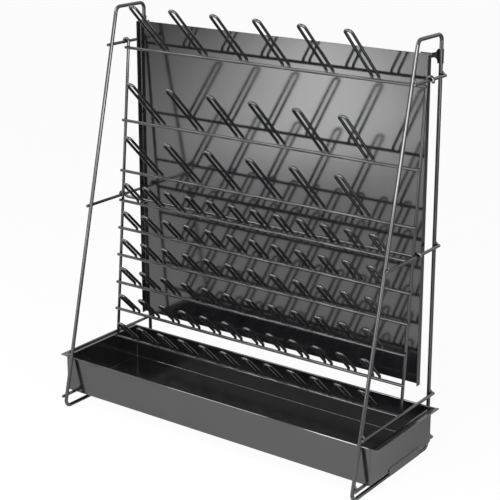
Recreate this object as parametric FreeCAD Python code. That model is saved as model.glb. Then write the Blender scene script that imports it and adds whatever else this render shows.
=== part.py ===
import FreeCAD, Part
import math
import os

# Laboratory glassware drying rack, free-standing, in millimetres.
# While it is built, X = 0 is the middle of the rack, Y = 0 the axis of the rear legs
# and Z = 0 the axis of the loops' bottom runs. Every solid is moved at the end, so that
# the exported rack stands on Z = 0, centred in X and Y. The front faces -Y.

# Side loops: one bent wire each, welded shut
loop_wire = 6.0
loop_half_spacing = 280.0
loop_height = 650.0
loop_top_reach = 68.3
loop_foot_reach = 222.4
loop_bend = 10.0

# Crossbars, outboard of the loops. The upper one hangs below the loop's top run, the lower
# one lies above the tray's rim and the middle one this share of the way up between them.
bar_wire = 5.0
weld_bite = 0.1
upper_bar_drop = 61.0
middle_bar_share = 0.4804
lower_bar_rise = 11.2
tray_bar_height = 17.0
bar_front_overhang = 4.0
bar_rear_overhang = 6.0
stay_wire = 4.0
stay_rise = 8.0

# Peg grid, leaning back on the crossbars. It stands this far in front of the rear legs at
# the upper crossbar, and its rows are shares of the way up from the lower to the upper one.
grid_wire = 5.0
grid_lean = 0.0904
grid_reach = 45.3
row_overhang = 3.0
row_shares = [0.9822, 0.7395, 0.5689, 0.4667, 0.3717, 0.2778, 0.1816, 0.0882, -0.01]
upright_tail = 8.0
hook_clearance = 0.1
hook_tail = 4.0
stretcher_tail = 3.0
stretcher_drop = 1.8
stretcher_slant = 45.0

# Pegs: bent hairpins standing on the row wires
peg_wire = 4.6
peg_spread = 12.0
peg_stub = 3.5
peg_slope = 44.3
peg_tip_flat = 0.268
large_peg_rows = 3
large_peg_count = 6
large_peg_pitch = 79.3
large_peg_length = 110.8
small_peg_count = 12
small_peg_pitch = 43.0
small_peg_length = 54.0
peg_sides = 8

# Back panel with its two ears
panel_sheet = 1.0
panel_end_gap = 3.0
panel_face_reach = 17.7
panel_flange = 10.0
panel_rise = 30.9
panel_drop = 28.1
panel_corner = 2.0
ear_land = 18.0
ear_rise = 2.0
ear_height = 7.5
ear_flare_up = 4.0
ear_flare_down = 10.0
ear_flare_depth = 9.0
ear_wrap = 140.0
cut_margin = 1.0

# Drip tray
tray_sheet = 1.0
tray_end_overhang = 16.0
tray_front_clearance = 2.2
tray_back_clearance = 15.5
tray_depth = 59.3
tray_corner = 2.0
lip_width = 13.0
lip_rise = 1.0
lug_length = 90.0
lug_setback = 35.5
lug_drop = 6.5
lug_height = 13.0
lug_sheet = 1.5
lug_corner = 3.0

loop_radius = loop_wire / 2
bar_radius = bar_wire / 2
grid_radius = grid_wire / 2
bar_offset = loop_half_spacing + loop_radius + bar_radius - weld_bite

tray_bottom = tray_bar_height + bar_radius
tray_rim = tray_bottom + tray_depth
lower_bar_height = tray_rim + lower_bar_rise
upper_bar_height = loop_height - upper_bar_drop
bar_span = upper_bar_height - lower_bar_height
middle_bar_height = lower_bar_height + middle_bar_share * bar_span

panel_half_width = loop_half_spacing - loop_radius - panel_end_gap
panel_bottom = tray_rim + panel_rise
panel_top = loop_height - panel_drop


def point(x, y, z):
    return FreeCAD.Vector(x, y, z)


def rod(radius, start, end):
    return Part.makeCylinder(radius, (end - start).Length, start, end - start)


def bent_wire(corners, bend_radius, radius, closed=False):
    """Round wire along straight runs, with a circular bend at every corner between them."""
    count = len(corners)
    leaves = {}
    enters = {}
    pieces = []
    for i in range(count) if closed else range(1, count - 1):
        here = corners[i]
        back = (corners[i - 1] - here).normalize()
        ahead = (corners[(i + 1) % count] - here).normalize()
        half_angle = back.getAngle(ahead) / 2
        reach = bend_radius / math.tan(half_angle)
        enters[i] = here + back * reach
        leaves[i] = here + ahead * reach
        centre = here + (back + ahead).normalize() * (bend_radius / math.sin(half_angle))
        disc = Part.Face(Part.Wire(Part.makeCircle(radius, enters[i], back)))
        turn = 180 - 2 * math.degrees(half_angle)
        pieces.append(disc.revolve(centre, (back * -1).cross(ahead), turn))
    for i in range(count if closed else count - 1):
        start = leaves.get(i, corners[i])
        end = enters.get((i + 1) % count, corners[(i + 1) % count])
        if (end - start).Length > 0.001:
            pieces.append(rod(radius, start, end))
    return pieces[0].multiFuse(pieces[1:]).removeSplitter()


def mitred_bar(path, radius, sides):
    """Bar of regular section along a path, mitred at each corner, with plane ends."""
    heading = (path[1] - path[0]).normalize()
    across = point(1, 0, 0)
    up = heading.cross(across)
    size = radius / math.cos(math.pi / sides)
    ring = []
    for k in range(sides):
        turn = 2 * math.pi * (k + 0.5) / sides
        ring.append(path[0] + across * (size * math.cos(turn)) + up * (size * math.sin(turn)))
    rings = [ring]
    for i in range(1, len(path)):
        heading = (path[i] - path[i - 1]).normalize()
        onward = (path[i + 1] - path[i]).normalize() if i + 1 < len(path) else heading
        normal = heading + onward
        ring = [p + heading * ((path[i] - p).dot(normal) / heading.dot(normal)) for p in ring]
        rings.append(ring)
    faces = []
    for near, far in zip(rings, rings[1:]):
        for k in range(sides):
            n = (k + 1) % sides
            faces.append(Part.Face(Part.makePolygon([near[k], near[n], far[n], far[k], near[k]])))
    for end in (rings[0], rings[-1]):
        faces.append(Part.Face(Part.makePolygon(end + end[:1])))
    solid = Part.makeSolid(Part.makeShell(faces))
    if solid.Volume < 0:
        solid.reverse()
    return solid


def front_leg_reach(height):
    """Distance of the front leg's axis in front of the rear legs."""
    return loop_foot_reach - (loop_foot_reach - loop_top_reach) * height / loop_height


tray_half_width = loop_half_spacing + tray_end_overhang
tray_front_reach = front_leg_reach(tray_rim) - loop_radius - tray_front_clearance
tray_back_reach = loop_radius + tray_back_clearance


def row_point(x, height):
    return point(x, -grid_reach - grid_lean * (upper_bar_height - height), height)


grid_up = point(0, grid_lean, 1).normalize()
grid_back = point(0, 1, -grid_lean).normalize()
grid_gap = 2 * grid_radius - weld_bite


def upright_point(x, height):
    """Point at this height on the uprights' axis, behind the row wires."""
    start = row_point(x, height) + grid_back * grid_gap
    return start + grid_up * ((height - start.z) / grid_up.z)


def side_loop(side):
    x = side * loop_half_spacing
    corners = [point(x, -loop_foot_reach, 0), point(x, -loop_top_reach, loop_height),
               point(x, 0, loop_height), point(x, 0, 0)]
    return bent_wire(corners, loop_bend, loop_radius, closed=True)


def crossbar(side, height, loop):
    """Bar across both legs of a loop, with a short stay up to each leg."""
    x = side * bar_offset
    front = -front_leg_reach(height)
    shape = rod(bar_radius, point(x, front - bar_front_overhang, height),
                point(x, bar_rear_overhang, height))
    stays = []
    for leg, leg_above in ((front, -front_leg_reach(height + stay_rise)), (0, 0)):
        start = point(x, leg + bar_rear_overhang - stay_wire / 2, height)
        end = point(side * loop_half_spacing, leg_above, height + stay_rise)
        stays.append(rod(stay_wire / 2, start, end))
    return shape.multiFuse(stays).cut(loop)


hook_bend = bar_radius + grid_radius + hook_clearance


def grid_upright(side):
    """Upright whose top hooks outward over the upper crossbar."""
    x = side * (bar_offset - hook_bend)
    crest = upright_point(x, upper_bar_height - hook_clearance) + grid_up * hook_bend
    over = crest + point(side * 2 * hook_bend, 0, 0)
    foot = upright_point(x, lower_bar_height - upright_tail)
    path = [foot, crest, over, over - grid_up * (hook_bend + hook_tail)]
    return bent_wire(path, hook_bend, grid_radius)


def middle_stretcher():
    """Wire behind the uprights that rises at both ends and hooks over the middle crossbars."""
    centre = middle_bar_height - hook_clearance
    crest = centre + hook_bend
    low = centre - stretcher_drop
    slant = math.radians(stretcher_slant)
    over = bar_offset - hook_bend * math.tan(slant / 2)
    foot = over - (crest - low) / math.tan(slant)
    crossing = crest - (over - bar_offset + hook_bend) * math.tan(slant)
    y = upright_point(0, crossing).y + grid_gap * math.sqrt(1 + grid_lean ** 2)
    outer = bar_offset + hook_bend
    half = [point(outer, y, centre - stretcher_tail), point(outer, y, crest), point(over, y, crest),
            point(foot, y, low)]
    mirrored = [point(-p.x, p.y, p.z) for p in reversed(half)]
    return bent_wire(half + mirrored, hook_bend, grid_radius)


def hairpin(x, row, length):
    """One peg: a stub and a slanted run on each side, joined by a rounded tip."""
    slope = math.radians(peg_slope)
    along = point(0, -math.cos(slope), math.sin(slope))
    half = peg_spread / 2
    foot = row_point(x, row) + point(0, 0, grid_radius - weld_bite)
    knee = foot + point(0, 0, peg_stub)
    shoulder = knee + along * (length - half)
    tip = knee + along * length
    flat = half * peg_tip_flat
    side = [foot, knee, shoulder]
    left = [p + point(-half, 0, 0) for p in side]
    right = [p + point(half, 0, 0) for p in reversed(side)]
    crown = [tip + point(-flat, 0, 0), tip + point(flat, 0, 0)]
    return mitred_bar(left + crown + right, peg_wire / 2, peg_sides)


def peg_row(row, number):
    large = number <= large_peg_rows
    count = large_peg_count if large else small_peg_count
    pitch = large_peg_pitch if large else small_peg_pitch
    length = large_peg_length if large else small_peg_length
    return Part.makeCompound([hairpin(pitch * (i - (count - 1) / 2), row, length) for i in range(count)])


def panel_ear(side):
    """Strip behind the panel's top corner that runs to the rear leg and wraps round its back."""
    radius = loop_radius + panel_sheet / 2
    start_y = -panel_face_reach + panel_sheet * 1.5
    bend = point(panel_half_width - panel_sheet, start_y, 0)
    to_leg = point(loop_half_spacing, 0, 0) - bend
    lean = math.atan2(to_leg.y, to_leg.x) + math.asin(radius / to_leg.Length)
    run = math.sqrt(to_leg.Length ** 2 - radius ** 2)
    along = point(math.cos(lean), math.sin(lean), 0)
    touch = bend + along * run
    half = panel_sheet / 2
    low = panel_top + ear_rise - ear_height - ear_flare_down
    tall = ear_height + ear_flare_down + ear_flare_up
    land = Part.makeBox(ear_land, panel_sheet, tall, bend + point(-ear_land, -half, 0))
    corner = Part.makeCylinder(half, tall, bend)
    outward = point(-along.y, along.x, 0)
    ring = [bend + outward * half, touch + outward * half, touch - outward * half, bend - outward * half]
    strip = Part.Face(Part.makePolygon(ring + ring[:1])).extrude(point(0, 0, tall))
    leg = point(loop_half_spacing, 0, 0)
    wrap_face = Part.Face(Part.makePolygon([touch + outward * half, touch - outward * half,
                                            touch - outward * half + point(0, 0, tall),
                                            touch + outward * half + point(0, 0, tall),
                                            touch + outward * half]))
    wrap = wrap_face.revolve(leg, point(0, 0, -1), ear_wrap)
    ear = land.multiFuse([corner, strip, wrap])
    ear.translate(point(0, 0, low))
    flare_end = -loop_radius
    wide = 4 * ear_land
    base = point(loop_half_spacing - wide / 2, flare_end - wide, 0)
    lower = Part.makeBox(wide, wide, ear_flare_down + cut_margin, base + point(0, 0, low - cut_margin))
    rim = [e for e in lower.Edges if abs(e.CenterOfMass.y - flare_end) < 0.01
           and abs(e.CenterOfMass.z - low - ear_flare_down) < 0.01]
    lower = lower.makeFillet(ear_flare_depth, rim)
    top = panel_top + ear_rise
    edge = [point(base.x, base.y, top), point(base.x, flare_end - ear_flare_up, top),
            point(base.x, flare_end, top + ear_flare_up), point(base.x, flare_end, top + wide),
            point(base.x, base.y, top + wide)]
    upper = Part.Face(Part.makePolygon(edge + edge[:1])).extrude(point(wide, 0, 0))
    ear = ear.cut(lower).cut(upper)
    return ear if side > 0 else ear.mirror(point(0, 0, 0), point(1, 0, 0))


def vertical_edges(shape, x, y):
    return [e for e in shape.Edges if abs(abs(e.CenterOfMass.x) - x) < 0.01
            and abs(e.CenterOfMass.y - y) < 0.01 and e.BoundBox.ZLength > panel_sheet]


def back_panel():
    tall = panel_top - panel_bottom
    back = -panel_face_reach + panel_sheet
    deep = panel_flange + panel_sheet
    outer = Part.makeBox(2 * panel_half_width, deep, tall,
                         point(-panel_half_width, back - deep, panel_bottom))
    outer = outer.makeFillet(panel_corner, vertical_edges(outer, panel_half_width, back))
    inner_half = panel_half_width - panel_sheet
    inner_back = back - panel_sheet
    inner = Part.makeBox(2 * inner_half, deep, tall, point(-inner_half, inner_back - deep, panel_bottom))
    inner = inner.makeFillet(panel_corner - panel_sheet, vertical_edges(inner, inner_half, inner_back))
    return outer.cut(inner).multiFuse([panel_ear(1), panel_ear(-1)]).removeSplitter()


def tray_lip(side):
    inner = tray_half_width - tray_sheet
    tip = tray_half_width + lip_width
    y = -tray_front_reach
    under = tray_rim - tray_sheet
    section = [point(side * inner, y, under), point(side * tip, y, under + lip_rise),
               point(side * tip, y, tray_rim + lip_rise), point(side * inner, y, tray_rim)]
    face = Part.Face(Part.makePolygon(section + section[:1]))
    return face.extrude(point(0, tray_front_reach - tray_back_reach, 0))


def tray_lug(side):
    """Plate on the outside of an end wall that reaches below the tray's bottom."""
    start = tray_half_width if side > 0 else -tray_half_width - lug_sheet
    front = -tray_back_reach - lug_setback - lug_length
    lug = Part.makeBox(lug_sheet, lug_length, lug_height, point(start, front, tray_bottom - lug_drop))
    corners = [e for e in lug.Edges if e.BoundBox.XLength > lug_sheet / 2]
    return lug.makeFillet(lug_corner, corners)


def tray_shell(inset):
    """The tray's block drawn in by the inset on every side but the top, with rounded edges."""
    half = tray_half_width - inset
    block = Part.makeBox(2 * half, tray_front_reach - tray_back_reach - 2 * inset, tray_depth,
                         point(-half, -tray_front_reach + inset, tray_bottom + inset))
    return block.makeFillet(tray_corner - inset,
                            [e for e in block.Edges if e.CenterOfMass.z < tray_rim - tray_sheet / 2])


def drip_tray():
    inner = tray_shell(tray_sheet)
    lips = [tray_lip(side).cut(inner) for side in (-1, 1)]
    lugs = [tray_lug(side) for side in (-1, 1)]
    return tray_shell(0).cut(inner).multiFuse(lips + lugs).removeSplitter()


bar_heights = {"upper_crossbar": upper_bar_height, "middle_crossbar": middle_bar_height,
               "lower_crossbar": lower_bar_height, "tray_bar": tray_bar_height}
nodes = {}
for side, word in ((-1, "left"), (1, "right")):
    loop = side_loop(side)
    nodes[word + "_side_loop"] = loop
    for name, height in bar_heights.items():
        nodes[word + "_" + name] = crossbar(side, height, loop)
    nodes[word + "_grid_upright"] = grid_upright(side)
nodes["middle_stretcher"] = middle_stretcher()
for i, share in enumerate(row_shares):
    number = i + 1
    row = lower_bar_height + share * bar_span
    ends = [row_point(side * (loop_half_spacing + row_overhang), row) for side in (-1, 1)]
    nodes["row_%d_wire" % number] = rod(grid_radius, ends[0], ends[1])
    nodes["row_%d_pegs" % number] = peg_row(row, number)
nodes["back_panel"] = back_panel()
nodes["drip_tray"] = drip_tray()

# The frontmost point is on the bend at the foot of the front legs.
leg_angle = math.atan2(loop_height, loop_foot_reach - loop_top_reach)
foot_front = loop_foot_reach - loop_bend / math.tan(leg_angle / 2) + loop_bend + loop_radius
shift = point(0, (foot_front - bar_rear_overhang) / 2, loop_radius)

os.makedirs("parts", exist_ok=True)
for name, shape in nodes.items():
    shape.translate(shift)
    shape.exportStep("parts/" + name + ".step")
    print(name, len(shape.Solids), shape.isValid(), round(shape.Volume, 1))
print("shift", shift)
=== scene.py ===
"""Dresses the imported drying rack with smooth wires, round pegs, weld beads, coated sheets and a studio."""

import math
from collections import namedtuple

import bmesh
import bpy
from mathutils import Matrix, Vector


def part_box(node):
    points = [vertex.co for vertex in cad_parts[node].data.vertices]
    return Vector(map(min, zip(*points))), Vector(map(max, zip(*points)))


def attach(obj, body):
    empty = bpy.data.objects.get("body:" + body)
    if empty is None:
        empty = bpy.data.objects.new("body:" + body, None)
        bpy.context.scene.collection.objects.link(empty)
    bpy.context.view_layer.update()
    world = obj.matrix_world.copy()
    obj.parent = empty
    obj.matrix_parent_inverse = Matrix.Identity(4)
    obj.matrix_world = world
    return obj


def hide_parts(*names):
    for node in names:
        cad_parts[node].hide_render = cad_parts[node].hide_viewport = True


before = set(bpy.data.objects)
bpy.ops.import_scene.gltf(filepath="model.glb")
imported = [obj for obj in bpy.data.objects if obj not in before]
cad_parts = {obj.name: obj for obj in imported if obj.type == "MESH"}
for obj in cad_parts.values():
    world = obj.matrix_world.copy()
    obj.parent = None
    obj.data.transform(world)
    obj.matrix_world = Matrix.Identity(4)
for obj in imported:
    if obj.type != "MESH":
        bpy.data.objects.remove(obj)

bl_info = {
    "name": "Glassware Drying Rack",
    "version": (1, 0, 0),
    "blender": (4, 5, 0),
    "location": "3D Viewport > Sidebar > Drying Rack",
    "description": "Models the wires, pegs, welds, sheet parts and studio of a glassware drying rack",
    "category": "Object",
}

BODY = "root"
SIDES = {"left": -1, "right": 1}
BARS = ("upper_crossbar", "middle_crossbar", "lower_crossbar", "tray_bar")
ROWS = range(1, 10)
LARGE_ROWS = 3

# Angles between two faces
FLAT_ANGLE = math.radians(1)
ROUNDED_ANGLE = math.radians(50)
SHEET_SMOOTH_ANGLE = math.radians(40)
WIRE_SMOOTH_ANGLE = math.radians(50)

# Distances in metres under which points are one point
SHEET_MERGE = 0.00001
SHORTEST_RUN = 0.000001

# Shares of a wire's radius: the gap closed at a loop's seam, and the most that a cut end is rounded
SEAM_SHARE = 1 / 100
ROUNDING_SHARE = 1 / 3

# Faces round a weld bead and from its foot to its top
WELD_SIDES = 12
WELD_RINGS = 6

# Noise of the coats on Object coordinates: scale and detail
TONE_NOISE = (22.0, 4.0)
GLOSS_NOISE = (45.0, 3.0)
WAVE_NOISE = (5.0, 1.0)
PEEL_DETAIL = 2.0

# Noise levels at which a coat is thick and thin, and the share by which its gloss changes
THICK_LEVEL = 0.35
THIN_LEVEL = 0.70
GLOSS_CHANGE = 0.25

# Depth in metres of the orange peel and of the sheets' slow waves
PEEL_DEPTH = 0.0002
WAVE_DEPTH = 0.01

# Softboxes that face the rack: name, place, width, height and the setting that holds the power
SOFTBOX_TARGET = Vector((0, 0, 0.35))
SOFTBOXES = (
    ("softbox_left", Vector((0.00, -1.50, 0.48)), 0.9, 0.85, "side_power"),
    ("softbox_right", Vector((1.50, -0.55, 0.48)), 0.9, 0.85, "side_power"),
    ("softbox_front", Vector((0.45, -0.50, 0.70)), 0.4, 0.4, "front_power"),
)

# Place of the overhead softbox, and width and height of that one and of the lamp over the floor
TOP_PLACE = (-0.85, -0.55, 1.20)
TOP_SIZE = (1.5, 0.6)
SWEEP_SIZE = (0.25, 2.6)

# Width of the camera's sensor in millimetres, and the range in metres that it sees
SENSOR_WIDTH = 36.0
CLIP_START = 0.05
CLIP_END = 200.0

Box = namedtuple("Box", "middle half low high")

# Refractive index of a coat, strength and scale of its orange peel and strength of its waves
Relief = namedtuple("Relief", "index peel peel_scale wave")
WIRE_RELIEF = Relief(index=1.80, peel=0.05, peel_scale=900.0, wave=0.0)
PANEL_RELIEF = Relief(index=1.85, peel=0.04, peel_scale=500.0, wave=0.02)
TRAY_RELIEF = Relief(index=1.85, peel=0.06, peel_scale=700.0, wave=0.02)


class WireSizes(bpy.types.PropertyGroup):
    """Sizes of the bent wires, as the frame's solids have them"""

    loop_bend: bpy.props.FloatProperty(
        name="Loop bend", description="Bend radius of the side loops, on the wire's axis",
        default=0.010, unit="LENGTH")
    loop_top_reach: bpy.props.FloatProperty(
        name="Loop top reach", description="Length of a side loop's top run between its axes",
        default=0.0683, unit="LENGTH")
    loop_foot_reach: bpy.props.FloatProperty(
        name="Loop foot reach", description="Length of a side loop's bottom run between its axes",
        default=0.2224, unit="LENGTH")
    bar_wire: bpy.props.FloatProperty(
        name="Bar wire", description="Thickness of the crossbars and tray bars",
        default=0.005, unit="LENGTH")
    stay_wire: bpy.props.FloatProperty(
        name="Stay wire", description="Thickness of the short stays at the crossbars' ends",
        default=0.004, unit="LENGTH")
    stay_rise: bpy.props.FloatProperty(
        name="Stay rise", description="How far a stay climbs from its crossbar to the leg",
        default=0.008, unit="LENGTH")
    bar_front_overhang: bpy.props.FloatProperty(
        name="Bar overhang", description="How far a crossbar runs past the front leg's axis",
        default=0.004, unit="LENGTH")
    hook_clearance: bpy.props.FloatProperty(
        name="Hook clearance", description="Play between a hook and the bar that it hangs on",
        default=0.0001, unit="LENGTH")
    hook_tail: bpy.props.FloatProperty(
        name="Hook tail", description="Straight end of the uprights' top hooks",
        default=0.004, unit="LENGTH")
    stretcher_tail: bpy.props.FloatProperty(
        name="Stretcher tail", description="Straight end of the stretcher's hooks",
        default=0.003, unit="LENGTH")
    stretcher_slant: bpy.props.FloatProperty(
        name="Stretcher slant", description="Slope at which the stretcher's ends climb to their hooks",
        default=math.radians(45.0), subtype="ANGLE")
    end_rounding: bpy.props.FloatProperty(
        name="End rounding", description="Rounded edge of a cut wire end under its coat",
        default=0.0007, unit="LENGTH")
    sides: bpy.props.IntProperty(
        name="Wire sides", description="Faces round a wire", default=20)
    bend_steps: bpy.props.IntProperty(
        name="Bend steps", description="Faces along a quarter bend", default=7)


class PegSizes(bpy.types.PropertyGroup):
    """Sizes of the hairpin pegs"""

    wire: bpy.props.FloatProperty(
        name="Peg wire", description="Thickness of the peg wire", default=0.0046, unit="LENGTH")
    spread: bpy.props.FloatProperty(
        name="Spread", description="Distance between a peg's two runs", default=0.0120, unit="LENGTH")
    stub: bpy.props.FloatProperty(
        name="Stub", description="Upright foot of a peg above its row wire",
        default=0.0035, unit="LENGTH")
    knee: bpy.props.FloatProperty(
        name="Knee bend", description="Bend radius between a peg's foot and its slope",
        default=0.004, unit="LENGTH")
    slope: bpy.props.FloatProperty(
        name="Slope", description="Angle of a peg above the horizontal",
        default=math.radians(44.3), subtype="ANGLE")
    large_length: bpy.props.FloatProperty(
        name="Large peg", description="Sloping length of a large peg", default=0.1108, unit="LENGTH")
    large_pitch: bpy.props.FloatProperty(
        name="Large pitch", description="Distance between large pegs", default=0.0793, unit="LENGTH")
    large_count: bpy.props.IntProperty(
        name="Large pegs", description="Large pegs in a row", default=6)
    small_length: bpy.props.FloatProperty(
        name="Small peg", description="Sloping length of a small peg", default=0.0540, unit="LENGTH")
    small_pitch: bpy.props.FloatProperty(
        name="Small pitch", description="Distance between small pegs", default=0.0430, unit="LENGTH")
    small_count: bpy.props.IntProperty(
        name="Small pegs", description="Small pegs in a row", default=12)
    sides: bpy.props.IntProperty(
        name="Peg sides", description="Faces round a peg's wire", default=12)
    weld_width: bpy.props.FloatProperty(
        name="Weld width", description="Width of a weld bead at a peg's foot",
        default=0.0048, unit="LENGTH")
    weld_depth: bpy.props.FloatProperty(
        name="Weld depth", description="Depth of a weld bead, as a share of its width", default=0.9)
    weld_height: bpy.props.FloatProperty(
        name="Weld height", description="Height of a weld bead at a peg's foot",
        default=0.0016, unit="LENGTH")
    sink: bpy.props.FloatProperty(
        name="Sink", description="How deep a peg's foot sinks into its row wire",
        default=0.0001, unit="LENGTH")


class SheetSizes(bpy.types.PropertyGroup):
    """Sizes of the rounded edges and the hems of the panel and the tray"""

    edge: bpy.props.FloatProperty(
        name="Edge", description="Rounding of the coated sheet's edges", default=0.00045, unit="LENGTH")
    hem_height: bpy.props.FloatProperty(
        name="Hem height", description="Height of the folded hems on the tray's long walls",
        default=0.005, unit="LENGTH")
    hem_thickness: bpy.props.FloatProperty(
        name="Hem thickness", description="Thickness of the hems on the tray's walls and lips",
        default=0.0030, unit="LENGTH")
    hem_flat: bpy.props.FloatProperty(
        name="Hem flat", description="Inset of the sloping flats along a hem's edges",
        default=0.0012, unit="LENGTH")
    hem_rise: bpy.props.FloatProperty(
        name="Hem rise", description="How far a hem stands above its sheet, and in front of its wall",
        default=0.0005, unit="LENGTH")
    lip_width: bpy.props.FloatProperty(
        name="Lip width", description="Width of the lips at the tray's ends",
        default=0.013, unit="LENGTH")
    lip_rise: bpy.props.FloatProperty(
        name="Lip rise", description="How far the lips climb above the rim",
        default=0.001, unit="LENGTH")
    corner: bpy.props.FloatProperty(
        name="Corner", description="Rounding of the tray's upright corners",
        default=0.002, unit="LENGTH")


class FinishColours(bpy.types.PropertyGroup):
    """Colours and gloss of the coated wire and sheet"""

    wire: bpy.props.FloatVectorProperty(
        name="Wire coat", description="Colour of the coat on the wires",
        subtype="COLOR", size=3, default=(0.005, 0.005, 0.006))
    wire_thin: bpy.props.FloatVectorProperty(
        name="Wire coat, thin", description="Colour of the wires' coat where it is thin",
        subtype="COLOR", size=3, default=(0.010, 0.010, 0.011))
    wire_roughness: bpy.props.FloatProperty(
        name="Wire roughness", description="Roughness of the coat on the wires", default=0.14)
    panel: bpy.props.FloatVectorProperty(
        name="Panel coat", description="Colour of the coat on the back panel",
        subtype="COLOR", size=3, default=(0.006, 0.006, 0.007))
    panel_thin: bpy.props.FloatVectorProperty(
        name="Panel coat, thin", description="Colour of the panel's coat where it is thin",
        subtype="COLOR", size=3, default=(0.011, 0.011, 0.012))
    panel_roughness: bpy.props.FloatProperty(
        name="Panel roughness", description="Roughness of the coat on the back panel", default=0.10)
    tray: bpy.props.FloatVectorProperty(
        name="Tray coat", description="Colour of the coat on the drip tray",
        subtype="COLOR", size=3, default=(0.005, 0.005, 0.006))
    tray_thin: bpy.props.FloatVectorProperty(
        name="Tray coat, thin", description="Colour of the tray's coat where it is thin",
        subtype="COLOR", size=3, default=(0.010, 0.010, 0.011))
    tray_roughness: bpy.props.FloatProperty(
        name="Tray roughness", description="Roughness of the coat on the drip tray", default=0.13)


class StudioSettings(bpy.types.PropertyGroup):
    """Camera, lamps and floor"""

    lens: bpy.props.FloatProperty(
        name="Lens", description="Focal length in millimetres on a 36 mm sensor", default=100.09)
    camera_place: bpy.props.FloatVectorProperty(
        name="Camera", description="Place of the camera",
        subtype="TRANSLATION", size=3, default=(1.2235, -1.6606, 0.9733))
    camera_turn: bpy.props.FloatProperty(
        name="Turn", description="Turn of the camera to the left of straight ahead",
        default=math.radians(35.99), subtype="ANGLE")
    camera_dip: bpy.props.FloatProperty(
        name="Dip", description="Dip of the camera below the horizon",
        default=math.radians(15.58), subtype="ANGLE")
    camera_shift: bpy.props.FloatProperty(
        name="Shift", description="Upward shift of the camera's frame", default=-0.12)
    side_power: bpy.props.FloatProperty(
        name="Side power", description="Power of each low softbox in watts", default=8.0)
    top_power: bpy.props.FloatProperty(
        name="Top power", description="Power of the overhead softbox in watts", default=13.0)
    top_tilt: bpy.props.FloatProperty(
        name="Top tilt", description="Tilt of the overhead softbox towards the back",
        default=math.radians(35), subtype="ANGLE")
    front_power: bpy.props.FloatProperty(
        name="Front power", description="Power of the softbox over the front of the tray in watts",
        default=5.5)
    sweep_power: bpy.props.FloatProperty(
        name="Sweep power", description="Power of the lamp over the floor in front in watts",
        default=35.0)
    sweep_place: bpy.props.FloatVectorProperty(
        name="Sweep lamp", description="Place of the lamp over the floor in front",
        subtype="TRANSLATION", size=3, default=(-1.53, -2.45, 0.42))
    sweep_turn: bpy.props.FloatProperty(
        name="Sweep turn", description="Turn of the lamp over the floor in front",
        default=math.radians(-32.5), subtype="ANGLE")
    room_strength: bpy.props.FloatProperty(
        name="Room light", description="Strength of the even light of the room", default=0.15)
    floor_size: bpy.props.FloatProperty(
        name="Floor size", description="Length of the floor's sides", default=60.0, unit="LENGTH")
    floor_tone: bpy.props.FloatProperty(
        name="Floor tone", description="Grey level of the floor's paint", default=0.9)
    floor_roughness: bpy.props.FloatProperty(
        name="Floor roughness", description="Roughness of the floor's paint", default=0.9)
    floor_shine: bpy.props.FloatProperty(
        name="Floor shine", description="Level of the floor's reflections", default=0.1)
    floor_glow: bpy.props.FloatProperty(
        name="Floor glow", description="Share of plain white in what the camera sees of the floor",
        default=0.96)


def wires():
    return bpy.context.scene.rack_wires


def pegs():
    return bpy.context.scene.rack_pegs


def sheets():
    return bpy.context.scene.rack_sheets


def colours():
    return bpy.context.scene.rack_colours


def studio():
    return bpy.context.scene.rack_studio


def deselect():
    """Leaves edit mode and deselects every object."""
    if bpy.context.object and bpy.context.object.mode != "OBJECT":
        bpy.ops.object.mode_set(mode="OBJECT")
    bpy.ops.object.select_all(action="DESELECT")


def node_box(node):
    """Box of a node: its middle, its half sizes and its two corners."""
    low, high = (Vector(corner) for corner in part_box(node))
    return Box((low + high) / 2, (high - low) / 2, low, high)


def join(objects, name):
    """Joins objects into one piece whose origin is the world's."""
    deselect()
    for obj in objects:
        obj.select_set(True)
    bpy.context.view_layer.objects.active = objects[0]
    if len(objects) > 1:
        bpy.ops.object.join()
    bpy.ops.object.transform_apply(location=True, rotation=True, scale=True)
    piece = bpy.context.object
    piece.name = name
    piece.data.name = name
    return piece


def copies(model, places):
    """Copies of a modelled piece, each with its own mesh, one at each place."""
    made = []
    for place in places:
        copy = model.copy()
        copy.data = model.data.copy()
        copy.location = place
        bpy.context.collection.objects.link(copy)
        made.append(copy)
    return made


def discard(obj):
    """Deletes a model that only its copies show."""
    deselect()
    obj.select_set(True)
    bpy.ops.object.delete()


def seat(piece, material, *nodes, slot="coated_wire"):
    """Gives a piece its finish, hides the nodes it stands for and lets it ride on the frame."""
    piece.data.materials.clear()
    piece.data.materials.append(material)
    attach(piece, BODY)
    if nodes:
        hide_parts(*nodes)


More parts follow.
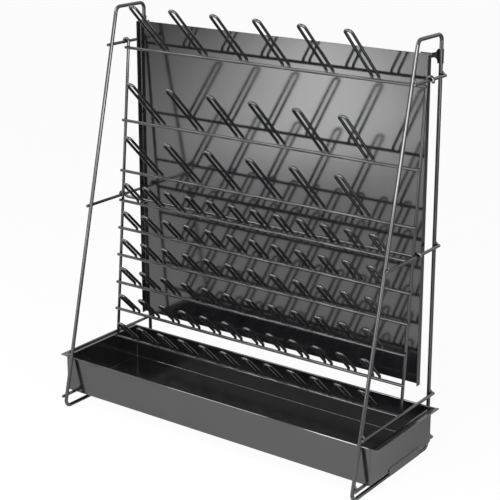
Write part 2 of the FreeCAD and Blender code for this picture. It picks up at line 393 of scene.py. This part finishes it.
def bend_wire(name, corners, bends, radius, sides, closed=False):
    """Bends round wire: straight runs are extruded and each corner is spun about its bend's centre."""
    count = len(corners)
    turns = range(1, count + 1) if closed else range(1, count - 1)
    start = (corners[0] + corners[1]) / 2 if closed else corners[0]
    heading = (corners[1] - corners[0]).normalized()
    deselect()
    bpy.ops.mesh.primitive_circle_add(
        vertices=sides, radius=radius, fill_type="NGON", location=start,
        rotation=heading.to_track_quat("Z", "Y").to_euler())
    bpy.ops.object.transform_apply(location=True, rotation=True, scale=True)
    wire = bpy.context.object
    bpy.ops.object.mode_set(mode="EDIT")
    bpy.ops.mesh.select_all(action="SELECT")
    here = start
    for i in turns:
        corner = corners[i % count]
        back = (corners[(i - 1) % count] - corner).normalized()
        ahead = (corners[(i + 1) % count] - corner).normalized()
        bend = bends[(i if closed else i - 1) % len(bends)]
        half_angle = back.angle(ahead) / 2
        reach = bend / math.tan(half_angle)
        push(corner + back * reach - here)
        turn = math.pi - 2 * half_angle
        steps = max(2, round(wires().bend_steps * turn / (math.pi / 2)))
        bpy.ops.mesh.spin(
            steps=steps, angle=-turn, axis=(-back).cross(ahead),
            center=corner + (back + ahead).normalized() * (bend / math.sin(half_angle)))
        here = corner + ahead * reach
    push((start if closed else corners[-1]) - here)
    bpy.ops.mesh.select_all(action="SELECT")
    bpy.ops.mesh.normals_make_consistent(inside=False)
    bpy.ops.mesh.select_mode(type="FACE")
    bpy.ops.mesh.select_all(action="DESELECT")
    bpy.ops.object.mode_set(mode="OBJECT")
    for face in wire.data.polygons:
        face.select = len(face.vertices) == sides
    bpy.ops.object.mode_set(mode="EDIT")
    if closed:
        bpy.ops.mesh.delete(type="ONLY_FACE")
        bpy.ops.mesh.select_all(action="SELECT")
        bpy.ops.mesh.remove_doubles(threshold=radius * SEAM_SHARE)
    else:
        rounding = min(wires().end_rounding, radius * ROUNDING_SHARE)
        bpy.ops.mesh.bevel(offset=rounding, segments=2, affect="EDGES")
    bpy.ops.object.mode_set(mode="OBJECT")
    bpy.ops.object.shade_smooth_by_angle(angle=WIRE_SMOOTH_ANGLE)
    wire.name = name
    wire.data.name = name
    return wire


def mirrored(path):
    """Path in mirror image about the plane X = 0, run from its end."""
    return [Vector((-point.x, point.y, point.z)) for point in reversed(path)]


def push(step):
    """Extrudes the selected wire end by a step, where the step has a length."""
    if step.length > SHORTEST_RUN:
        bpy.ops.mesh.extrude_region_move(TRANSFORM_OT_translate={"value": step})


def noise(nodes, links, coordinates, scale, detail):
    """Noise texture on Object coordinates."""
    texture = nodes.new("ShaderNodeTexNoise")
    texture.inputs["Scale"].default_value = scale
    texture.inputs["Detail"].default_value = detail
    links.new(coordinates.outputs["Object"], texture.inputs["Vector"])
    return texture


def coat(name, colour, thin_colour, roughness, relief):
    """Glossy stoved coat: slow changes of tone, small changes of gloss and a fine orange peel."""
    material = bpy.data.materials.new(name)
    material.use_nodes = True
    nodes, links = material.node_tree.nodes, material.node_tree.links
    shader = nodes["Principled BSDF"]
    shader.inputs["IOR"].default_value = relief.index
    coordinates = nodes.new("ShaderNodeTexCoord")
    tone = noise(nodes, links, coordinates, *TONE_NOISE)
    ramp = nodes.new("ShaderNodeValToRGB")
    ramp.color_ramp.elements[0].position = THICK_LEVEL
    ramp.color_ramp.elements[0].color = (*colour, 1)
    ramp.color_ramp.elements[1].position = THIN_LEVEL
    ramp.color_ramp.elements[1].color = (*thin_colour, 1)
    links.new(tone.outputs["Fac"], ramp.inputs["Fac"])
    links.new(ramp.outputs["Color"], shader.inputs["Base Color"])
    gloss = noise(nodes, links, coordinates, *GLOSS_NOISE)
    spread = nodes.new("ShaderNodeMapRange")
    spread.inputs["To Min"].default_value = roughness * (1 - GLOSS_CHANGE)
    spread.inputs["To Max"].default_value = roughness * (1 + GLOSS_CHANGE)
    links.new(gloss.outputs["Fac"], spread.inputs["Value"])
    links.new(spread.outputs["Result"], shader.inputs["Roughness"])
    fine = noise(nodes, links, coordinates, relief.peel_scale, PEEL_DETAIL)
    bump = nodes.new("ShaderNodeBump")
    bump.inputs["Strength"].default_value = relief.peel
    bump.inputs["Distance"].default_value = PEEL_DEPTH
    links.new(fine.outputs["Fac"], bump.inputs["Height"])
    if relief.wave:
        slow = noise(nodes, links, coordinates, *WAVE_NOISE)
        sway = nodes.new("ShaderNodeBump")
        sway.inputs["Strength"].default_value = relief.wave
        sway.inputs["Distance"].default_value = WAVE_DEPTH
        links.new(slow.outputs["Fac"], sway.inputs["Height"])
        links.new(sway.outputs["Normal"], bump.inputs["Normal"])
    links.new(bump.outputs["Normal"], shader.inputs["Normal"])
    return material


def wire_coat():
    c = colours()
    return bpy.data.materials.get("coated_wire_black") or coat(
        "coated_wire_black", c.wire, c.wire_thin, c.wire_roughness, WIRE_RELIEF)


def panel_coat():
    c = colours()
    return bpy.data.materials.get("coated_panel_black") or coat(
        "coated_panel_black", c.panel, c.panel_thin, c.panel_roughness, PANEL_RELIEF)


def tray_coat():
    c = colours()
    return bpy.data.materials.get("coated_tray_black") or coat(
        "coated_tray_black", c.tray, c.tray_thin, c.tray_roughness, TRAY_RELIEF)


def leg_reach(height):
    """Distance from the rear leg's axis to the front leg's, at a height above the bottom run's axis."""
    loop = node_box("left_side_loop")
    tall = loop.high.z - loop.low.z - 2 * loop.half.x
    foot, top = wires().loop_foot_reach, wires().loop_top_reach
    return foot - (foot - top) * height / tall


class RACK_OT_side_loops(bpy.types.Operator):
    """Bends the two side loops"""

    bl_idname = "rack.side_loops"
    bl_label = "Side loops"

    def execute(self, context):
        for word in SIDES:
            node = word + "_side_loop"
            box = node_box(node)
            radius = box.half.x
            rear, foot, top = box.high.y - radius, box.low.z + radius, box.high.z - radius
            corners = [
                Vector((box.middle.x, rear - wires().loop_foot_reach, foot)),
                Vector((box.middle.x, rear - wires().loop_top_reach, top)),
                Vector((box.middle.x, rear, top)),
                Vector((box.middle.x, rear, foot)),
            ]
            loop = bend_wire(word + "_loop_wire", corners, [wires().loop_bend], radius,
                             wires().sides, closed=True)
            seat(loop, wire_coat(), node)
        return {"FINISHED"}


class RACK_OT_crossbars(bpy.types.Operator):
    """Cuts the crossbars and tray bars, and fits their short stays"""

    bl_idname = "rack.crossbars"
    bl_label = "Crossbars"

    def execute(self, context):
        for word, side in SIDES.items():
            loop = node_box(word + "_side_loop")
            rear = loop.high.y - loop.half.x
            foot = loop.low.z + loop.half.x
            for bar in BARS:
                node = word + "_" + bar
                box = node_box(node)
                radius = wires().bar_wire / 2
                x = (box.high.x if side > 0 else box.low.x) - side * radius
                z = box.low.z + radius
                head_z = z + wires().stay_rise
                front = rear - leg_reach(z - foot)
                start = Vector((x, front - wires().bar_front_overhang, z))
                end = Vector((x, box.high.y, z))
                made = [bend_wire(node + "_rod", [start, end], [0], radius, wires().sides)]
                stay = wires().stay_wire / 2
                for leg, leg_above in ((front, rear - leg_reach(head_z - foot)), (rear, rear)):
                    tail = Vector((x, leg + box.high.y - rear - stay, z))
                    head = Vector((loop.middle.x, leg_above, head_z))
                    made.append(bend_wire(node + "_stay", [tail, head], [0], stay, wires().sides))
                seat(join(made, node + "_wire"), wire_coat(), node)
        return {"FINISHED"}


class RACK_OT_grid(bpy.types.Operator):
    """Makes the uprights, the row wires and the stretcher that carry the pegs"""

    bl_idname = "rack.grid"
    bl_label = "Peg grid"

    def execute(self, context):
        top_row = node_box("row_1_wire")
        up = (top_row.middle - node_box("row_9_wire").middle).normalized()
        radius = top_row.half.z
        bend = 2 * radius + wires().hook_clearance
        self.row_wires()
        self.uprights(up, radius, bend)
        self.stretcher(radius, bend)
        return {"FINISHED"}

    def row_wires(self):
        """Nine straight wires, one for each row of pegs."""
        for number in ROWS:
            node = "row_%d_wire" % number
            box = node_box(node)
            ends = [Vector((x, box.middle.y, box.middle.z)) for x in (box.low.x, box.high.x)]
            rod = bend_wire("row_%d_rod" % number, ends, [0], box.half.z, wires().sides)
            seat(rod, wire_coat(), node)

    def uprights(self, up, radius, bend):
        """Leaning wires at the grid's ends, bent outward into hooks at the top."""
        for word, side in SIDES.items():
            node = word + "_grid_upright"
            box = node_box(node)
            inner = (box.low.x if side > 0 else box.high.x) + side * radius
            outer = inner + side * 2 * bend
            foot = Vector((inner, box.low.y + radius * up.z, box.low.z + radius * up.y))
            crest = foot + up * ((box.high.z - radius - foot.z) / up.z)
            over = crest + Vector((outer - inner, 0, 0))
            tail = over - up * (bend + wires().hook_tail)
            path = [foot, crest, over, tail]
            seat(bend_wire(node + "_wire", path, [bend], radius, wires().sides), wire_coat(), node)

    def stretcher(self, radius, bend):
        """Wire from side to side behind the grid, with a hook at each end."""
        node = "middle_stretcher"
        box = node_box(node)
        slant = wires().stretcher_slant
        y = box.middle.y
        outer, run, crest = box.high.x - radius, box.low.z + radius, box.high.z - radius
        tail = crest - bend - wires().stretcher_tail
        over = outer - bend - bend * math.tan(slant / 2)
        inner = over - (crest - run) / math.tan(slant)
        right = [Vector((outer, y, tail)), Vector((outer, y, crest)),
                 Vector((over, y, crest)), Vector((inner, y, run))]
        path = right + mirrored(right)
        seat(bend_wire("stretcher_wire", path, [bend], radius, wires().sides), wire_coat(), node)


class RACK_OT_pegs(bpy.types.Operator):
    """Bends one hairpin of each size and stands its copies on the row wires"""

    bl_idname = "rack.pegs"
    bl_label = "Pegs"

    def execute(self, context):
        size = pegs()
        large_rows = [number for number in ROWS if number <= LARGE_ROWS]
        small_rows = [number for number in ROWS if number > LARGE_ROWS]
        for rows, length, pitch, count in (
                (large_rows, size.large_length, size.large_pitch, size.large_count),
                (small_rows, size.small_length, size.small_pitch, size.small_count)):
            hairpin = self.hairpin(length)
            for number in rows:
                wire = node_box("row_%d_wire" % number)
                foot = wire.high.z - size.sink
                places = [(pitch * (i - (count - 1) / 2), wire.middle.y, foot) for i in range(count)]
                made = join(copies(hairpin, places), "row_%d_hairpins" % number)
                seat(made, wire_coat(), "row_%d_pegs" % number)
                seat(self.weld_row(places, number), wire_coat())
            discard(hairpin)
        return {"FINISHED"}

    def hairpin(self, length):
        """One peg at the origin: up the left run, round the tip and down the right run."""
        half = pegs().spread / 2
        foot = Vector((-half, 0, 0))
        knee = foot + Vector((0, 0, pegs().stub))
        along = Vector((0, -math.cos(pegs().slope), math.sin(pegs().slope)))
        left = [foot, knee, knee + along * length]
        bends = [pegs().knee, half, half, pegs().knee]
        return bend_wire("hairpin", left + mirrored(left), bends, pegs().wire / 2, pegs().sides)

    def weld_row(self, places, number):
        """Weld beads of one row, one at each foot of its pegs."""
        half = pegs().spread / 2
        deselect()
        bpy.ops.mesh.primitive_uv_sphere_add(segments=WELD_SIDES, ring_count=WELD_RINGS, radius=0.5)
        bead = bpy.context.object
        width = pegs().weld_width
        bead.scale = (width, width * pegs().weld_depth, pegs().weld_height)
        bpy.ops.object.transform_apply(location=True, rotation=True, scale=True)
        bpy.ops.object.shade_smooth()
        spots = [(x + side * half, y, z) for x, y, z in places for side in (-1, 1)]
        made = join(copies(bead, spots), "row_%d_welds" % number)
        discard(bead)
        return made


def rounded_sheet(node, name):
    """Copy of a sheet part with its faces merged and its outer edges rounded under the coat."""
    deselect()
    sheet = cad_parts[node].copy()
    sheet.data = sheet.data.copy()
    bpy.context.collection.objects.link(sheet)
    sheet.hide_render = False
    sheet.select_set(True)
    bpy.context.view_layer.objects.active = sheet
    bpy.ops.object.mode_set(mode="EDIT")
    bpy.ops.mesh.select_all(action="SELECT")
    bpy.ops.mesh.remove_doubles(threshold=SHEET_MERGE)
    bpy.ops.mesh.dissolve_limited(angle_limit=FLAT_ANGLE)
    bpy.ops.mesh.select_all(action="DESELECT")
    bpy.ops.mesh.select_mode(type="EDGE")
    mesh = bmesh.from_edit_mesh(sheet.data)
    for edge in mesh.edges:
        edge.select_set(edge.is_convex and edge.calc_face_angle() > ROUNDED_ANGLE)
    bmesh.update_edit_mesh(sheet.data)
    bpy.ops.mesh.bevel(offset=sheets().edge, segments=2, clamp_overlap=False, harden_normals=True)
    bpy.ops.object.mode_set(mode="OBJECT")
    bpy.ops.object.shade_smooth_by_angle(angle=SHEET_SMOOTH_ANGLE)
    weigh = sheet.modifiers.new("flat faces", "WEIGHTED_NORMAL")
    weigh.keep_sharp = True
    bpy.ops.object.modifier_apply(modifier=weigh.name)
    sheet.name = name
    sheet.data.name = name
    return sheet


class RACK_OT_sheets(bpy.types.Operator):
    """Finishes the back panel and the drip tray, and folds the hems on the tray's walls and lips"""

    bl_idname = "rack.sheets"
    bl_label = "Panel and tray"

    def execute(self, context):
        panel_sheet = rounded_sheet("back_panel", "panel_sheet")
        seat(panel_sheet, panel_coat(), "back_panel", slot="coated_sheet")
        tray_sheet = rounded_sheet("drip_tray", "tray_sheet")
        seat(tray_sheet, tray_coat(), "drip_tray", slot="coated_sheet")
        tray = node_box("drip_tray")
        wall_hems = [self.wall_hem(tray, wall, inward)
                     for wall, inward in ((tray.low.y, 1), (tray.high.y, -1))]
        lip_hems = [self.lip_hem(tray, side) for side in SIDES.values()]
        seat(join(wall_hems + lip_hems, "tray_hems"), tray_coat(), slot="coated_sheet")
        return {"FINISHED"}

    def wall_hem(self, tray, wall, inward):
        """Folded hem on a long wall, from its outer face inward."""
        s = sheets()
        half_length = tray.half.x - s.lip_width - s.corner
        y = wall + inward * (s.hem_thickness / 2 - s.hem_rise)
        z = tray.high.z - s.lip_rise + s.hem_rise - s.hem_height / 2
        return self.hem((0, y, z), (2 * half_length, s.hem_thickness, s.hem_height))

    def lip_hem(self, tray, side):
        """Folded hem on a lip, inward from the tray's end."""
        s = sheets()
        x = side * (tray.half.x - s.hem_thickness / 2)
        z = tray.high.z + s.hem_rise - s.hem_thickness / 2
        return self.hem((x, tray.middle.y, z), (s.hem_thickness, 2 * tray.half.y, s.hem_thickness))

    def hem(self, place, size):
        """Bar with a sloping flat along each of its edges."""
        deselect()
        bpy.ops.mesh.primitive_cube_add(size=1.0, location=place, scale=size)
        bpy.ops.object.transform_apply(location=True, rotation=True, scale=True)
        bpy.ops.object.mode_set(mode="EDIT")
        bpy.ops.mesh.select_all(action="SELECT")
        bpy.ops.mesh.bevel(offset=sheets().hem_flat, segments=1, affect="EDGES")
        bpy.ops.object.mode_set(mode="OBJECT")
        bpy.ops.object.shade_smooth_by_angle(angle=SHEET_SMOOTH_ANGLE)
        return bpy.context.object


class RACK_OT_stage(bpy.types.Operator):
    """Sets the floor, the lamps, the world and the camera"""

    bl_idname = "rack.stage"
    bl_label = "Studio"

    def execute(self, context):
        deselect()
        bpy.ops.mesh.primitive_plane_add(size=studio().floor_size, location=(0, 0, 0))
        floor = bpy.context.object
        floor.name = "studio_floor"
        floor.data.materials.append(self.floor_paint())
        self.world(context)
        self.lamps()
        self.camera(context)
        context.scene.view_settings.view_transform = "Standard"
        return {"FINISHED"}

    def floor_paint(self):
        """Light paint that looks nearly white to the camera and keeps the rack's shadow."""
        s = studio()
        material = bpy.data.materials.new("floor_paint")
        material.use_nodes = True
        nodes, links = material.node_tree.nodes, material.node_tree.links
        shader = nodes["Principled BSDF"]
        shader.inputs["Base Color"].default_value = (s.floor_tone, s.floor_tone, s.floor_tone, 1)
        shader.inputs["Roughness"].default_value = s.floor_roughness
        shader.inputs["Specular IOR Level"].default_value = s.floor_shine
        glow = nodes.new("ShaderNodeEmission")
        glow.inputs["Strength"].default_value = 1.0
        path = nodes.new("ShaderNodeLightPath")
        share = nodes.new("ShaderNodeMath")
        share.operation = "MULTIPLY"
        share.inputs[1].default_value = s.floor_glow
        mix = nodes.new("ShaderNodeMixShader")
        links.new(path.outputs["Is Camera Ray"], share.inputs[0])
        links.new(share.outputs["Value"], mix.inputs["Fac"])
        links.new(shader.outputs["BSDF"], mix.inputs[1])
        links.new(glow.outputs["Emission"], mix.inputs[2])
        links.new(mix.outputs["Shader"], nodes["Material Output"].inputs["Surface"])
        return material

    def world(self, context):
        """Even room light that the camera, reflections and clear parts see as plain white."""
        world = context.scene.world or bpy.data.worlds.new("studio_world")
        context.scene.world = world
        world.use_nodes = True
        nodes, links = world.node_tree.nodes, world.node_tree.links
        room = nodes["Background"]
        room.inputs["Color"].default_value = (1, 1, 1, 1)
        room.inputs["Strength"].default_value = studio().room_strength
        seen = nodes.new("ShaderNodeBackground")
        seen.inputs["Color"].default_value = (1, 1, 1, 1)
        path = nodes.new("ShaderNodeLightPath")
        camera_or_glossy = nodes.new("ShaderNodeMath")
        camera_or_glossy.operation = "MAXIMUM"
        any_of_three = nodes.new("ShaderNodeMath")
        any_of_three.operation = "MAXIMUM"
        mix = nodes.new("ShaderNodeMixShader")
        links.new(path.outputs["Is Camera Ray"], camera_or_glossy.inputs[0])
        links.new(path.outputs["Is Glossy Ray"], camera_or_glossy.inputs[1])
        links.new(camera_or_glossy.outputs["Value"], any_of_three.inputs[0])
        links.new(path.outputs["Is Transmission Ray"], any_of_three.inputs[1])
        links.new(any_of_three.outputs["Value"], mix.inputs["Fac"])
        links.new(room.outputs["Background"], mix.inputs[1])
        links.new(seen.outputs["Background"], mix.inputs[2])
        links.new(mix.outputs["Shader"], nodes["World Output"].inputs["Surface"])

    def lamps(self):
        """Softboxes round the rack, and a long lamp over the floor in front for the panel to mirror."""
        s = studio()
        for name, place, width, height, power in SOFTBOXES:
            turn = (SOFTBOX_TARGET - place).to_track_quat("-Z", "Y").to_euler()
            self.softbox(name, place, turn, width, height, getattr(s, power))
        self.softbox("softbox_top", TOP_PLACE, (s.top_tilt, 0, 0), *TOP_SIZE, s.top_power)
        self.softbox("sweep_lamp", s.sweep_place, (0, 0, s.sweep_turn), *SWEEP_SIZE, s.sweep_power)

    def softbox(self, name, place, turn, width, height, watts):
        """Rectangular lamp that the camera doesn't see."""
        bpy.ops.object.light_add(type="AREA", location=place, rotation=turn)
        lamp = bpy.context.object
        lamp.name = name
        lamp.data.shape = "RECTANGLE"
        lamp.data.size = width
        lamp.data.size_y = height
        lamp.data.energy = watts
        lamp.visible_camera = False

    def camera(self, context):
        """Camera that stands where the photograph was taken."""
        s = studio()
        bpy.ops.object.camera_add(
            location=s.camera_place, rotation=(math.pi / 2 - s.camera_dip, 0, s.camera_turn))
        camera = bpy.context.object
        camera.name = "camera"
        camera.data.lens = s.lens
        camera.data.sensor_width = SENSOR_WIDTH
        camera.data.shift_y = s.camera_shift
        camera.data.clip_start = CLIP_START
        camera.data.clip_end = CLIP_END
        context.scene.camera = camera


class RACK_PT_panel(bpy.types.Panel):
    """Lists the steps that make the studio and the rack's pieces"""

    bl_idname = "RACK_PT_panel"
    bl_label = "Drying Rack"
    bl_space_type = "VIEW_3D"
    bl_region_type = "UI"
    bl_category = "Drying Rack"

    def draw(self, context):
        for operator in OPERATORS:
            self.layout.operator(operator.bl_idname)


GROUPS = {"rack_wires": WireSizes, "rack_pegs": PegSizes, "rack_sheets": SheetSizes,
          "rack_colours": FinishColours, "rack_studio": StudioSettings}
OPERATORS = (RACK_OT_stage, RACK_OT_side_loops, RACK_OT_crossbars, RACK_OT_grid, RACK_OT_pegs,
             RACK_OT_sheets)


def register():
    for name, group in GROUPS.items():
        bpy.utils.register_class(group)
        setattr(bpy.types.Scene, name, bpy.props.PointerProperty(type=group))
    for item in (*OPERATORS, RACK_PT_panel):
        bpy.utils.register_class(item)


def unregister():
    for item in (RACK_PT_panel, *reversed(OPERATORS)):
        bpy.utils.unregister_class(item)
    for name, group in reversed(GROUPS.items()):
        delattr(bpy.types.Scene, name)
        bpy.utils.unregister_class(group)


def main():
    register()
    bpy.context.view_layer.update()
    for operator in OPERATORS:
        area, name = operator.bl_idname.split(".")
        getattr(getattr(bpy.ops, area), name)()


if __name__ == "__main__":
    main()
